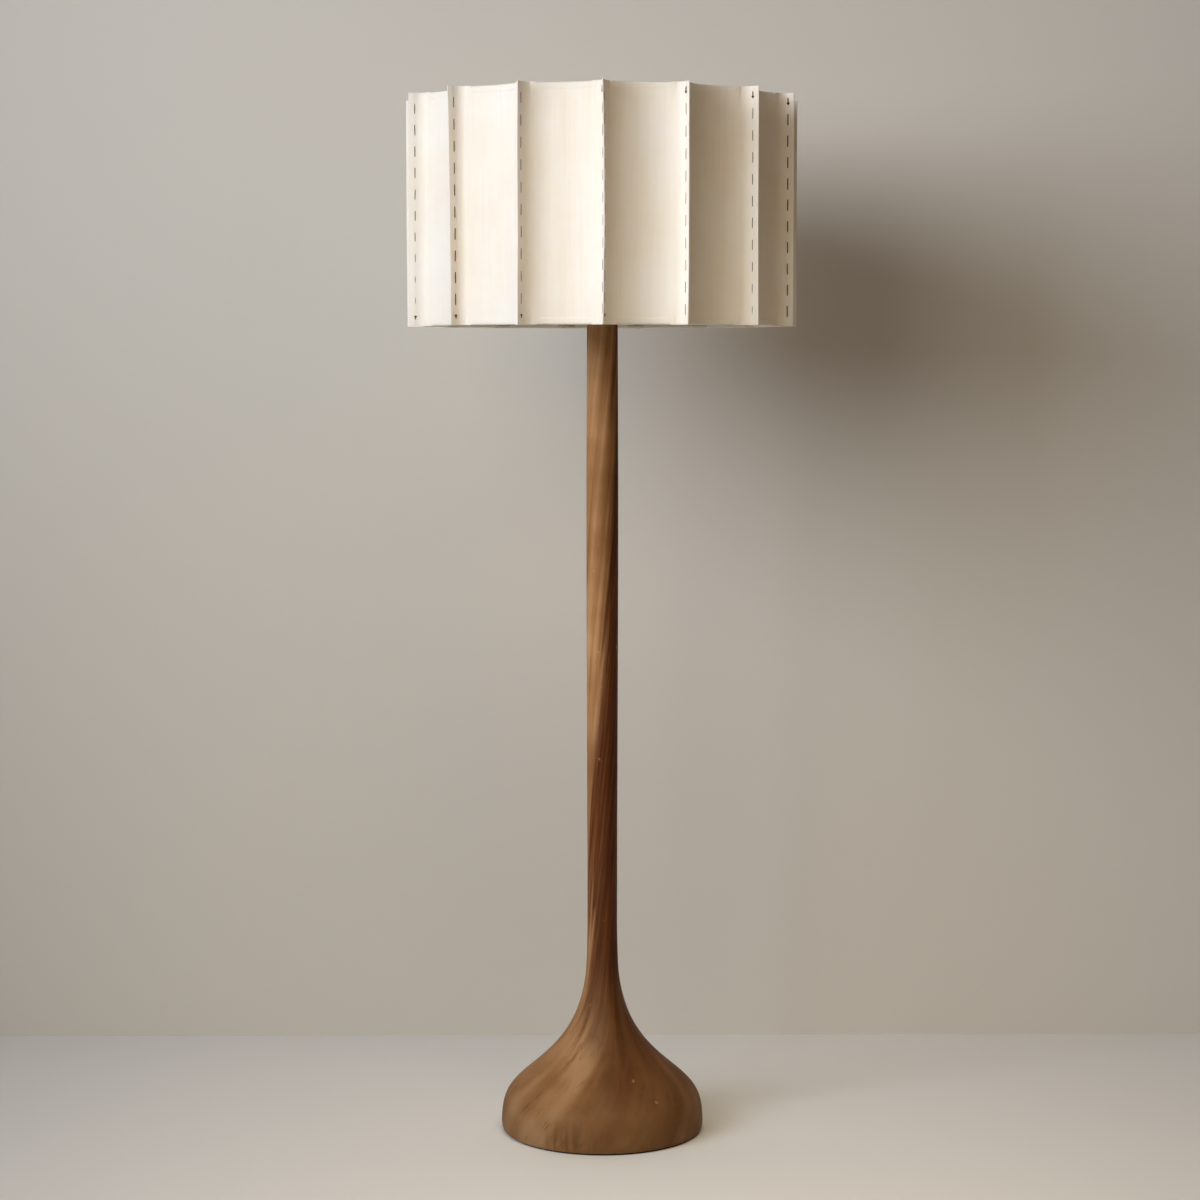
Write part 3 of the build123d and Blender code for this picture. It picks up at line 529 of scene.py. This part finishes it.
class Finish:
    """A material whose nodes are added one by one."""

    def __init__(self, name, **values):
        self.material = bpy.data.materials.new(name)
        self.material.use_nodes = True
        self.tree = self.material.node_tree
        self.shader = self.tree.nodes["Principled BSDF"]
        for key, value in values.items():
            self.set(key.replace("_", " "), value)
        self.place = self.add("TexCoord").outputs["Object"]

    def put(self, socket, value):
        if isinstance(value, bpy.types.NodeSocket):
            self.tree.links.new(value, socket)
        else:
            socket.default_value = value

    def set(self, key, value):
        self.put(self.shader.inputs[key], value)

    def add(self, kind, values=(), **settings):
        made = self.tree.nodes.new("ShaderNode" + kind)
        for key, value in settings.items():
            setattr(made, key, value)
        for key, value in dict(values).items():
            self.put(made.inputs[key], value)
        return made

    def moved(self, scale=(1, 1, 1), shift=(0, 0, 0)):
        """The object's own coordinates, shifted and then scaled."""
        shifted = self.add("Mapping", {0: self.place, 1: shift}).outputs[0]
        return self.add("VectorMath", {0: shifted, 1: scale}, operation="MULTIPLY").outputs[0]

    def noise(self, where, scale, detail=2.0, roughness=0.5, distortion=0.0):
        values = {"Vector": where, "Scale": scale, "Detail": detail, "Roughness": roughness}
        return self.add("TexNoise", {**values, "Distortion": distortion}).outputs[0]

    def ramp(self, share, *stops):
        """Colours or greys spread over 0 to 1."""
        made = self.add("ValToRGB", {0: share})
        ramp = made.color_ramp
        while len(ramp.elements) < len(stops):
            ramp.elements.new(0.5)
        for element, (position, colour) in zip(ramp.elements, stops):
            element.position = position
            element.color = colour if isinstance(colour, tuple) else (colour, colour, colour, 1)
        return made.outputs[0]

    def fade(self, share, none, full):
        """0 to 1 between two shares."""
        return self.ramp(share, (none, 0.0), (full, 1.0))

    def curve(self, share, *points):
        """The share bent by a line through the points."""
        node = self.add("FloatCurve", {"Value": share})
        line = node.mapping.curves[0]
        while len(line.points) < len(points):
            line.points.new(0.5, 0.5)
        for spot, place in zip(line.points, points):
            spot.location = place
        node.mapping.use_clip = False
        node.mapping.update()
        return node.outputs[0]

    def mix(self, share, a, b, how="MIX"):
        made = self.add("Mix", {0: share, 6: a, 7: b}, data_type="RGBA", blend_type=how)
        return made.outputs[2]

    def math(self, how, a, b=0.0, c=0.0):
        return self.add("Math", {0: a, 1: b, 2: c}, operation=how).outputs[0]

    def times(self, a, b):
        return self.math("MULTIPLY", a, b)

    def weighed(self, a, weight, other):
        """A value times its weight, and another value on top."""
        return self.math("MULTIPLY_ADD", a, weight, other)

    def shift(self, where, height):
        """A place with a height added."""
        lift = self.add("CombineXYZ", {2: height}).outputs[0]
        return self.add("VectorMath", {0: where, 1: lift}, operation="ADD").outputs[0]

    def bump(self, height, strength, distance):
        made = self.add("Bump", {"Height": height, "Strength": strength, "Distance": distance})
        return made.outputs[0]


# The wood's light parts by their figure, and its heart by its bands
LIGHT_WOOD = (
    (0.36, srgb(150, 105, 64)),
    (0.46, srgb(168, 122, 78)),
    (0.55, srgb(186, 140, 95)),
    (0.64, srgb(200, 157, 114)),
)
HEART_WOOD = ((0.34, srgb(73, 33, 8)), (0.50, srgb(90, 45, 14)), (0.66, srgb(112, 63, 26)))
# Where the heart begins at each height, from 0 at the left side to 1 at the right. It lies mostly on
# the right side, away from the light, so its browner tone is partly painted shade.
HEART_AND_SHADE_BORDER = (
    (0.05, 0.60),
    (0.12, 0.40),
    (0.20, 0.12),
    (0.42, 0.0),
    (0.53, 0.12),
    (0.65, 0.42),
    (0.79, 0.62),
    (1.0, 0.80),
)
HEART_AND_SHADE_STRENGTH = 0.94
# How the wood's tone changes from left to right, and with the height over the floor in metres. It
# follows the tones of the real lamp in its room: partly the wood's own colour and partly painted shade,
# darker on the right side, away from the light, and towards the foot.
SIDE_TONE_AND_SHADE = (
    (0.25, (1.0, 1.0, 1.0, 1)),
    (0.5, (0.88, 0.88, 0.88, 1)),
    (0.78, (0.74, 0.69, 0.60, 1)),
    (1.0, (0.78, 0.68, 0.54, 1)),
)
HEIGHT_TONE_AND_SHADE = (
    (0.02, (0.60, 0.59, 0.56, 1)),
    (0.10, (0.80, 0.78, 0.75, 1)),
    (0.22, (0.82, 0.80, 0.76, 1)),
    (0.32, (1.0, 1.0, 1.0, 1)),
)
MARK_COLOUR = srgb(82, 48, 25)
SCRATCH_COLOUR = srgb(88, 54, 30)
STAIN_COLOUR = srgb(84, 60, 32)
NICK_COLOUR = srgb(196, 148, 104)


def wood():
    """Oiled hardwood, turned and rubbed. Its grain winds a little and runs on through the joints."""
    f = Finish("oiled_wood")
    x, y, z = f.add("SeparateXYZ", {0: f.place}).outputs[:3]
    flat = f.add("CombineXYZ", {0: x, 1: y}).outputs[0]
    radius = f.add("VectorMath", {0: flat}, operation="LENGTH").outputs["Value"]
    around = f.add("VectorMath", {0: flat}, operation="NORMALIZE").outputs[0]
    side = f.weighed(f.add("SeparateXYZ", {0: around}).outputs[0], 0.5, 0.5)
    wind = {"Vector": around, "Angle": f.times(z, -GRAIN_WIND)}
    wound = f.add("VectorRotate", wind, rotation_type="Z_AXIS").outputs[0]
    down = f.math("SUBTRACT", radius, z)

    def grain(stretch, seed):
        """A place on the wood's grain, which runs down the stem and out over the base."""
        return f.shift(wound, f.weighed(down, stretch, seed))

    figure = f.noise(grain(1.0, 0.37), scale=2.0, distortion=0.5)
    bands = f.noise(grain(1.0, 3.1), scale=6.5, distortion=0.4)
    fibres = f.noise(grain(1.4, 5.3), scale=70, roughness=0.6)
    cloud = f.noise(f.moved(shift=(0.3, 0.6, 0.1)), scale=12)
    light = f.ramp(f.weighed(cloud, 0.45, f.times(figure, 0.55)), *LIGHT_WOOD)
    # The heart of the tree shows as a browner side, partly painted shade on the right side away from the
    # light, which a flame joins to the lower stem
    wander = f.noise(grain(1.6, 7.7), scale=2.6, distortion=0.5)
    wander = f.math("SUBTRACT", wander, 0.5)
    heart_and_shade = f.math("SUBTRACT", f.weighed(wander, 0.7, side), f.curve(z, *HEART_AND_SHADE_BORDER))
    heart_and_shade = f.fade(f.math("ADD", heart_and_shade, 0.5), 0.40, 0.66)
    foot = f.ramp(f.weighed(wander, 0.16, z), (0.03, 0.15), (0.11, 0.50), (0.28, 1.0))
    heart_and_shade = f.times(f.times(heart_and_shade, foot), HEART_AND_SHADE_STRENGTH)
    colour = f.mix(heart_and_shade, light, f.ramp(bands, *HEART_WOOD))
    # Painted shade, partly the wood's own tone: darker towards the right side, away from the light, and the
    # foot
    colour = f.mix(1.0, colour, f.ramp(side, *SIDE_TONE_AND_SHADE), "MULTIPLY")
    colour = f.mix(1.0, colour, f.ramp(z, *HEIGHT_TONE_AND_SHADE), "MULTIPLY")
    colour = f.mix(0.17, colour, f.ramp(bands, (0.34, 0.36), (0.64, 0.62)), "SOFT_LIGHT")
    colour = f.mix(0.14, colour, f.ramp(fibres, (0.30, 0.30), (0.70, 0.68)), "SOFT_LIGHT")
    # Dark marks and scratches run with the grain
    marks = f.fade(f.noise(grain(1.1, 9.2), scale=17, detail=1, roughness=0.4), 0.66, 0.74)
    marks = f.times(marks, f.fade(f.noise(f.place, scale=14, detail=1), 0.47, 0.60))
    scratches = f.fade(f.noise(grain(0.8, 13.1), scale=62, detail=1, roughness=0.4), 0.62, 0.69)
    patches = f.noise(f.moved(shift=(0.2, 0.9, 0.4)), scale=26, detail=1)
    scratches = f.times(scratches, f.fade(patches, 0.50, 0.60))
    colour = f.mix(f.times(marks, 0.38), colour, MARK_COLOUR)
    colour = f.mix(f.times(scratches, 0.55), colour, SCRATCH_COLOUR)
    # A few upright stains at the foot, left of the middle, and pale nicks all over
    upright = f.shift(around, f.weighed(z, 0.8, 2.3))
    stains = f.fade(f.noise(upright, scale=20, detail=1), 0.44, 0.62)
    stains = f.times(stains, f.ramp(z, (0.018, 1.0), (0.055, 0.0)))
    stains = f.times(stains, f.ramp(side, (0.21, 0.0), (0.27, 1.0), (0.40, 1.0), (0.48, 0.0)))
    colour = f.mix(f.times(stains, 0.5), colour, STAIN_COLOUR)
    nicks = f.fade(f.noise(f.moved(shift=(0.7, 0.2, 0.5)), scale=70, detail=1), 0.76, 0.80)
    f.set("Base Color", f.mix(f.times(nicks, 0.5), colour, NICK_COLOUR))
    wear = f.weighed(fibres, 0.4, f.times(cloud, 0.6))
    f.set("Roughness", f.ramp(wear, (0.3, 0.64), (0.7, 0.52)))
    f.set("Specular IOR Level", 0.14)
    height = f.weighed(fibres, 0.3, f.weighed(marks, -0.6, f.times(scratches, -1.0)))
    f.set("Normal", f.bump(height, 0.3, 0.5 * MM))
    return f.material


# The parchment's colours by its clouds
SKIN = ((0.3, srgb(248, 238, 223)), (0.55, srgb(251, 243, 231)), (0.75, srgb(252, 246, 236)))


def parchment():
    """Pale scraped skin with faint clouds and upright streaks."""
    f = Finish("parchment")
    cloud = f.noise(f.place, scale=9, detail=3, roughness=0.55)
    streaks = f.noise(f.moved(scale=(1, 1, 0.035)), scale=210)
    fibres = f.noise(f.moved(scale=(1, 1, 0.4)), scale=1300, detail=3, roughness=0.6)
    colour = f.ramp(cloud, *SKIN)
    colour = f.mix(0.24, colour, f.ramp(streaks, (0.35, 0.25), (0.65, 0.75)), "SOFT_LIGHT")
    colour = f.mix(0.08, colour, f.ramp(fibres, (0.3, 0.3), (0.7, 0.7)), "SOFT_LIGHT")
    f.set("Base Color", colour)
    f.set("Roughness", f.ramp(fibres, (0.3, 0.74), (0.7, 0.60)))
    height = f.weighed(streaks, 0.8, f.times(fibres, 0.25))
    f.set("Normal", f.bump(height, 0.5, 0.5 * MM))
    f.set("Specular IOR Level", 0.3)
    f.set("Subsurface Weight", 0.3)
    f.set("Subsurface Radius", (1.0, 0.72, 0.48))
    f.set("Subsurface Scale", 2 * MM)
    return f.material


# How far the thread's twist goes on in a metre of its length and in one round of it, in radians
TWISTS = 2800.0
TWIST_TURN = 4 * math.pi
WAX_DARK, WAX_LIGHT = srgb(56, 32, 15), srgb(92, 56, 30)
PAINTED_HIGHLIGHT_THREAD = srgb(196, 178, 148)
# How pale the thread is painted, as a painted highlight, by its place across the shade and by its height
# over the shade's lower edge, both in metres. Only the first seam right of the front lies in this band,
# and the knot at its top keeps its colour.
HIGHLIGHT_ACROSS = ((0.095, 0.0), (0.110, 1.0), (0.125, 1.0), (0.150, 0.0))
HIGHLIGHT_HEIGHT = ((0.296, 1.0), (0.304, 0.0))


def thread_finish():
    """Dark brown waxed thread with its twist, with a painted highlight that paints the first seam right of
    the front pale.
    """
    f = Finish("waxed_thread")
    along, round_it = f.add("SeparateXYZ", {0: f.add("UVMap", uv_map="sheet").outputs[0]}).outputs[:2]
    twist = f.math("SINE", f.weighed(along, TWISTS, f.times(round_it, TWIST_TURN)))
    patch = f.noise(f.place, scale=260)
    x, _, z = f.add("SeparateXYZ", {0: f.place}).outputs[:3]
    # Painted highlight: the thread is painted pale along the first seam right of the front
    fade = f.times(f.ramp(x, *HIGHLIGHT_ACROSS), f.ramp(f.math("SUBTRACT", z, BOTTOM), *HIGHLIGHT_HEIGHT))
    fade = f.times(fade, f.ramp(f.noise(f.place, scale=24, detail=1), (0.35, 0.35), (0.6, 0.85)))
    f.set("Base Color", f.mix(fade, f.ramp(patch, (0.3, WAX_DARK), (0.7, WAX_LIGHT)), PAINTED_HIGHLIGHT_THREAD))
    f.set("Roughness", f.ramp(patch, (0.3, 0.78), (0.7, 0.66)))
    f.set("Specular IOR Level", 0.12)
    f.set("Normal", f.bump(f.weighed(twist, 0.5, 0.5), 0.6, 0.2 * MM))
    return f.material


def metal(name, light, dark, rough, metallic=1.0):
    """Metal or paint with fine upright brushing and a few dull patches."""
    f = Finish(name, Metallic=metallic)
    lines = f.noise(f.moved(scale=(1, 1, 0.05)), scale=700, roughness=0.6)
    patch = f.noise(f.place, scale=45, detail=3, roughness=0.6)
    colour = f.mix(f.ramp(patch, (0.42, 0.0), (0.7, 0.8)), light, dark)
    f.set("Base Color", f.mix(0.2, colour, f.ramp(lines, (0.3, 0.3), (0.7, 0.7)), "SOFT_LIGHT"))
    wear = f.math("ADD", f.times(lines, 0.4), f.times(patch, 0.6))
    f.set("Roughness", f.ramp(wear, (0.3, rough - 0.06), (0.7, rough + 0.1)))
    f.set("Normal", f.bump(lines, 0.15, 0.2 * MM))
    return f.material


def felt():
    """Black needled felt."""
    f = Finish("black_felt", Roughness=0.95)
    fuzz = f.noise(f.place, scale=2200, detail=3, roughness=0.7)
    f.set("Base Color", f.ramp(fuzz, (0.3, srgb(20, 19, 18)), (0.7, srgb(46, 44, 42))))
    f.set("Normal", f.bump(fuzz, 0.8, 0.6 * MM))
    f.set("Sheen Weight", 0.2)
    return f.material


def dull(name, low, high, rough, scale=600, bump=0.25):
    """Moulded, pressed or cast matter with a fine skin."""
    f = Finish(name)
    skin = f.noise(f.place, scale=scale, detail=3, roughness=0.6)
    patch = f.noise(f.place, scale=60)
    blend = f.math("ADD", f.times(skin, 0.4), f.times(patch, 0.6))
    f.set("Base Color", f.ramp(blend, (0.3, low), (0.7, high)))
    f.set("Roughness", f.ramp(skin, (0.3, rough - 0.06), (0.7, rough + 0.08)))
    f.set("Normal", f.bump(skin, bump, 0.3 * MM))
    return f.material


def frosted_glass():
    """The bulb's white inner frosting seen through its glass."""
    f = Finish("frosted_glass")
    patch = f.noise(f.place, scale=70)
    f.set("Base Color", f.ramp(patch, (0.3, srgb(236, 235, 230)), (0.7, srgb(247, 246, 242))))
    f.set("Roughness", f.ramp(patch, (0.3, 0.16), (0.7, 0.24)))
    f.set("Coat Weight", 0.6)
    f.set("Coat Roughness", 0.05)
    f.set("Subsurface Weight", 0.3)
    f.set("Subsurface Radius", (1.0, 0.95, 0.9))
    f.set("Subsurface Scale", 6 * MM)
    return f.material


brass = metal("satin_brass", srgb(205, 168, 104), srgb(172, 134, 78), 0.34)
steel = metal("zinc_steel", srgb(190, 190, 188), srgb(150, 150, 148), 0.38)
nickel = metal("nickel", srgb(206, 204, 198), srgb(176, 173, 166), 0.3)
ring_paint = metal("ring_paint", srgb(232, 226, 212), srgb(212, 204, 188), 0.45, metallic=0.0)
black_paint = metal("black_paint", srgb(34, 33, 32), srgb(26, 25, 24), 0.5, metallic=0.0)
moulding = dull("black_moulding", srgb(24, 22, 20), srgb(36, 33, 30), 0.38)
rubber = dull("rubber", srgb(24, 23, 23), srgb(38, 36, 35), 0.7, scale=900)
cast_iron = dull("cast_iron", srgb(44, 43, 42), srgb(66, 64, 62), 0.75, scale=350, bump=0.7)
fibre = dull("pressed_fibre", srgb(112, 92, 70), srgb(142, 120, 94), 0.85)
black_glass = dull("black_glass", srgb(12, 12, 13), srgb(20, 20, 22), 0.14)
parchment_finish = parchment()
thread_look = thread_finish()

finishes = {
    "felt": felt(),
    "black_steel": black_paint,
    "iron": cast_iron,
    "steel": steel,
    "rubber": rubber,
    "brass": brass,
    "fibre": fibre,
    "moulding": moulding,
    "nickel": nickel,
    "black_glass": black_glass,
    "frosted_glass": frosted_glass(),
    "shade_wire": ring_paint,
    "parchment": parchment_finish,
    "thread": thread_look,
    "wood": wood(),
}


def dress(piece, material):
    """Gives a piece this one material."""
    piece.data.materials.clear()
    piece.data.materials.append(material)


for part in frame["record"]["subparts"]:
    dress(nodes[part["node"]], finishes[part["material_slot"]])
for piece in panels:
    dress(piece, parchment_finish)
for piece in stitching:
    dress(piece, thread_look)


# Stage, light and camera


def stage_plane(name, corners, colour):
    """A plain matt plane that shows from its front only."""
    plane = mesh_piece(name, corners, [(0, 1, 2, 3)], smooth_faces=False)
    f = Finish(name, Roughness=0.9)
    f.set("Base Color", colour)
    f.set("Specular IOR Level", 0.1)
    clear = f.add("BsdfTransparent").outputs[0]
    behind = f.add("NewGeometry").outputs["Backfacing"]
    both = f.add("MixShader", {0: behind, 1: f.shader.outputs[0], 2: clear}).outputs[0]
    f.put(f.tree.nodes["Material Output"].inputs["Surface"], both)
    plane.data.materials.append(f.material)
    return plane


# How far behind the axis the wall stands, and how far wall and floor reach
WALL = 0.553
REACH = 7.0
FLOOR_COLOUR = srgb(247, 247, 246)
WALL_COLOUR = srgb(228, 224, 213)
floor_corners = [(-REACH, -REACH, 0), (REACH, -REACH, 0), (REACH, WALL, 0), (-REACH, WALL, 0)]
wall_corners = [(-REACH, WALL, 0), (REACH, WALL, 0), (REACH, WALL, REACH), (-REACH, WALL, REACH)]
stage_plane("floor", floor_corners, FLOOR_COLOUR)
stage_plane("wall", wall_corners, WALL_COLOUR)


def lamp(name, place, target, size, power, colour, spread):
    """A soft rectangular light that faces its target. Power in watts, spread in degrees."""
    data = bpy.data.lights.new(name, "AREA")
    data.spread = math.radians(spread)
    data.shape = "RECTANGLE"
    data.size, data.size_y = size
    data.energy = power
    data.color = colour
    made = bpy.data.objects.new(name, data)
    made.location = place
    made.rotation_euler = (Vector(target) - Vector(place)).to_track_quat("-Z", "Y").to_euler()
    bpy.context.scene.collection.objects.link(made)
    return made


# The three keys make one wide light from the upper left, cool at the side and warm at the front
SHADOW_SPOT = (1.4, WALL, 1.5)
lamp(
    "key",
    place=(-2.30, -2.26, 2.18),
    target=SHADOW_SPOT,
    size=(1.9, 1.8),
    power=25.6,
    colour=(0.86, 0.905, 1.0),
    spread=102,
)
lamp(
    "key_side",
    place=(-2.62, -1.88, 2.18),
    target=SHADOW_SPOT,
    size=(1.2, 1.6),
    power=5.0,
    colour=(0.86, 0.86, 1.0),
    spread=102,
)
lamp(
    "key_front",
    place=(-1.2, -2.99, 2.3),
    target=(0.6, WALL, 1.5),
    size=(1.2, 1.6),
    power=8.4,
    colour=(1.0, 0.91, 0.77),
    spread=110,
)
# A light on the floor in front, and the warm light that the room gives back from the right
lamp(
    "low_front",
    place=(0.3, -1.6, 2.6),
    target=(0.2, -0.9, 0),
    size=(1.2, 1.2),
    power=5.2,
    colour=(1.0, 0.84, 0.58),
    spread=70,
)
lamp(
    "bounce",
    place=(1.8, -3.1, 1.9),
    target=(0, 0, 1.0),
    size=(1.6, 1.6),
    power=2.4,
    colour=(1.0, 0.46, 0.18),
    spread=120,
)

WORLD_COLOUR = (1.0, 0.90, 0.80, 1.0)
WORLD_STRENGTH = 0.004
world = bpy.data.worlds.new("studio")
bpy.context.scene.world = world
world.use_nodes = True
background = world.node_tree.nodes["Background"]
background.inputs["Color"].default_value = WORLD_COLOUR
background.inputs["Strength"].default_value = WORLD_STRENGTH

# The camera's lens and sensor in millimetres, its place round the lamp and how far it looks down
LENS = 81.15
SENSOR = 36
AZIMUTH = math.radians(-0.35)
DISTANCE = 3.961
ASIDE_SHIFT = -0.0034
CAMERA_HEIGHT = 1.149
LOOKS_DOWN = math.radians(5.15)
camera_data = bpy.data.cameras.new("camera")
camera_data.sensor_width = SENSOR
camera_data.lens = LENS
camera = bpy.data.objects.new("camera", camera_data)
bpy.context.scene.collection.objects.link(camera)
camera.location = (
    math.sin(AZIMUTH) * DISTANCE + ASIDE_SHIFT * math.cos(AZIMUTH),
    -math.cos(AZIMUTH) * DISTANCE + ASIDE_SHIFT * math.sin(AZIMUTH),
    CAMERA_HEIGHT,
)
camera.rotation_euler = (math.pi / 2 - LOOKS_DOWN, 0, AZIMUTH)
bpy.context.scene.camera = camera
bpy.context.scene.view_settings.view_transform = "Standard"
